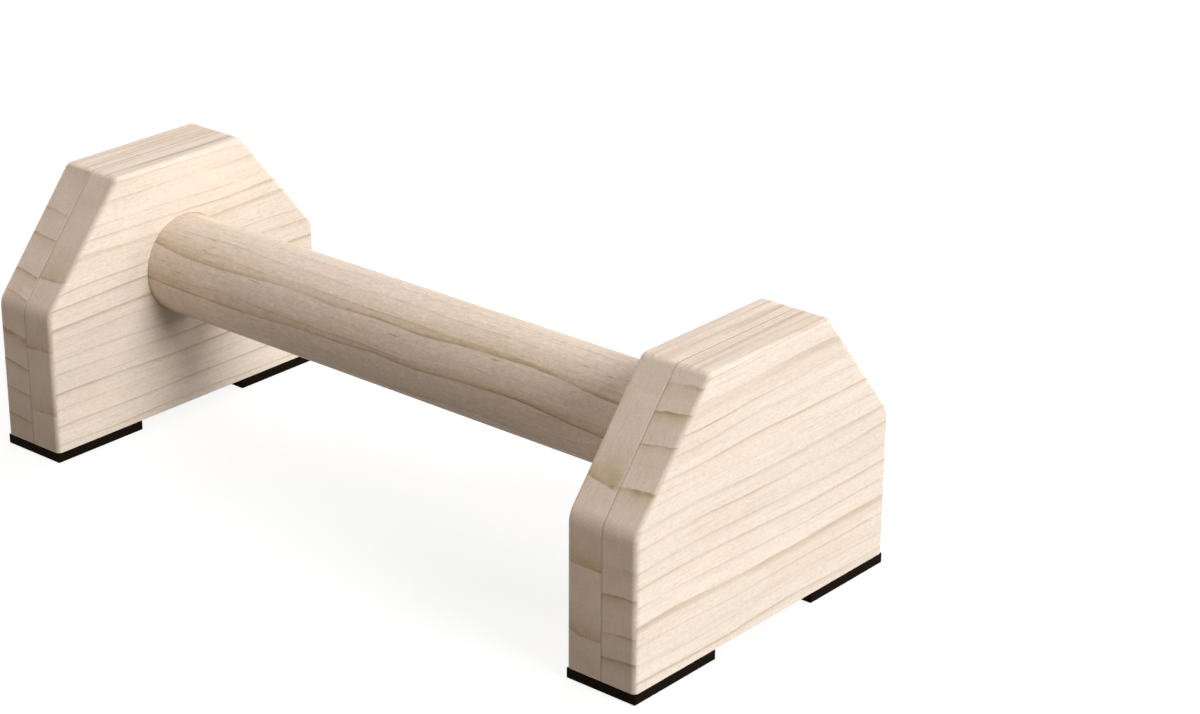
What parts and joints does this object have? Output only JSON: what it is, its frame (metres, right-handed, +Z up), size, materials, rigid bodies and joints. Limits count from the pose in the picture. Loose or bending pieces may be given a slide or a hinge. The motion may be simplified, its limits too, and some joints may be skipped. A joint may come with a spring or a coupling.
{
  "type": "parallette bar",
  "caption": "Low wooden parallette: a round grip bar fixed between chamfered two-board end blocks that stand on rubber pads, for push-ups and handstands.",
  "frame": {"origin": "on the floor, under the middle of the grip bar", "axes": "+X along the grip bar towards the right block, +Y across the blocks to the rear, +Z up"},
  "size_m": [0.32, 0.14, 0.107],
  "materials": {
    "bar_wood": "sanded, unvarnished pine",
    "board_wood": "sanded, unvarnished pine",
    "pad_rubber": "matt black non-slip rubber",
    "pad_adhesive": "double-sided adhesive film",
    "dowel_wood": "fluted beech",
    "screw_steel": "zinc-plated steel"
  },
  "bodies": {
    "root": {"grip_bar": "bar_wood", "right_inner_board": "board_wood", "right_outer_board": "board_wood", "left_inner_board": "board_wood", "left_outer_board": "board_wood", "right_front_pad": "pad_rubber", "right_rear_pad": "pad_rubber", "left_front_pad": "pad_rubber", "left_rear_pad": "pad_rubber", "right_front_pad_adhesive": "pad_adhesive", "right_rear_pad_adhesive": "pad_adhesive", "left_front_pad_adhesive": "pad_adhesive", "left_rear_pad_adhesive": "pad_adhesive", "right_board_dowels": "dowel_wood", "left_board_dowels": "dowel_wood", "right_bar_screws": "screw_steel", "left_bar_screws": "screw_steel"}
  },
  "joints": []
}
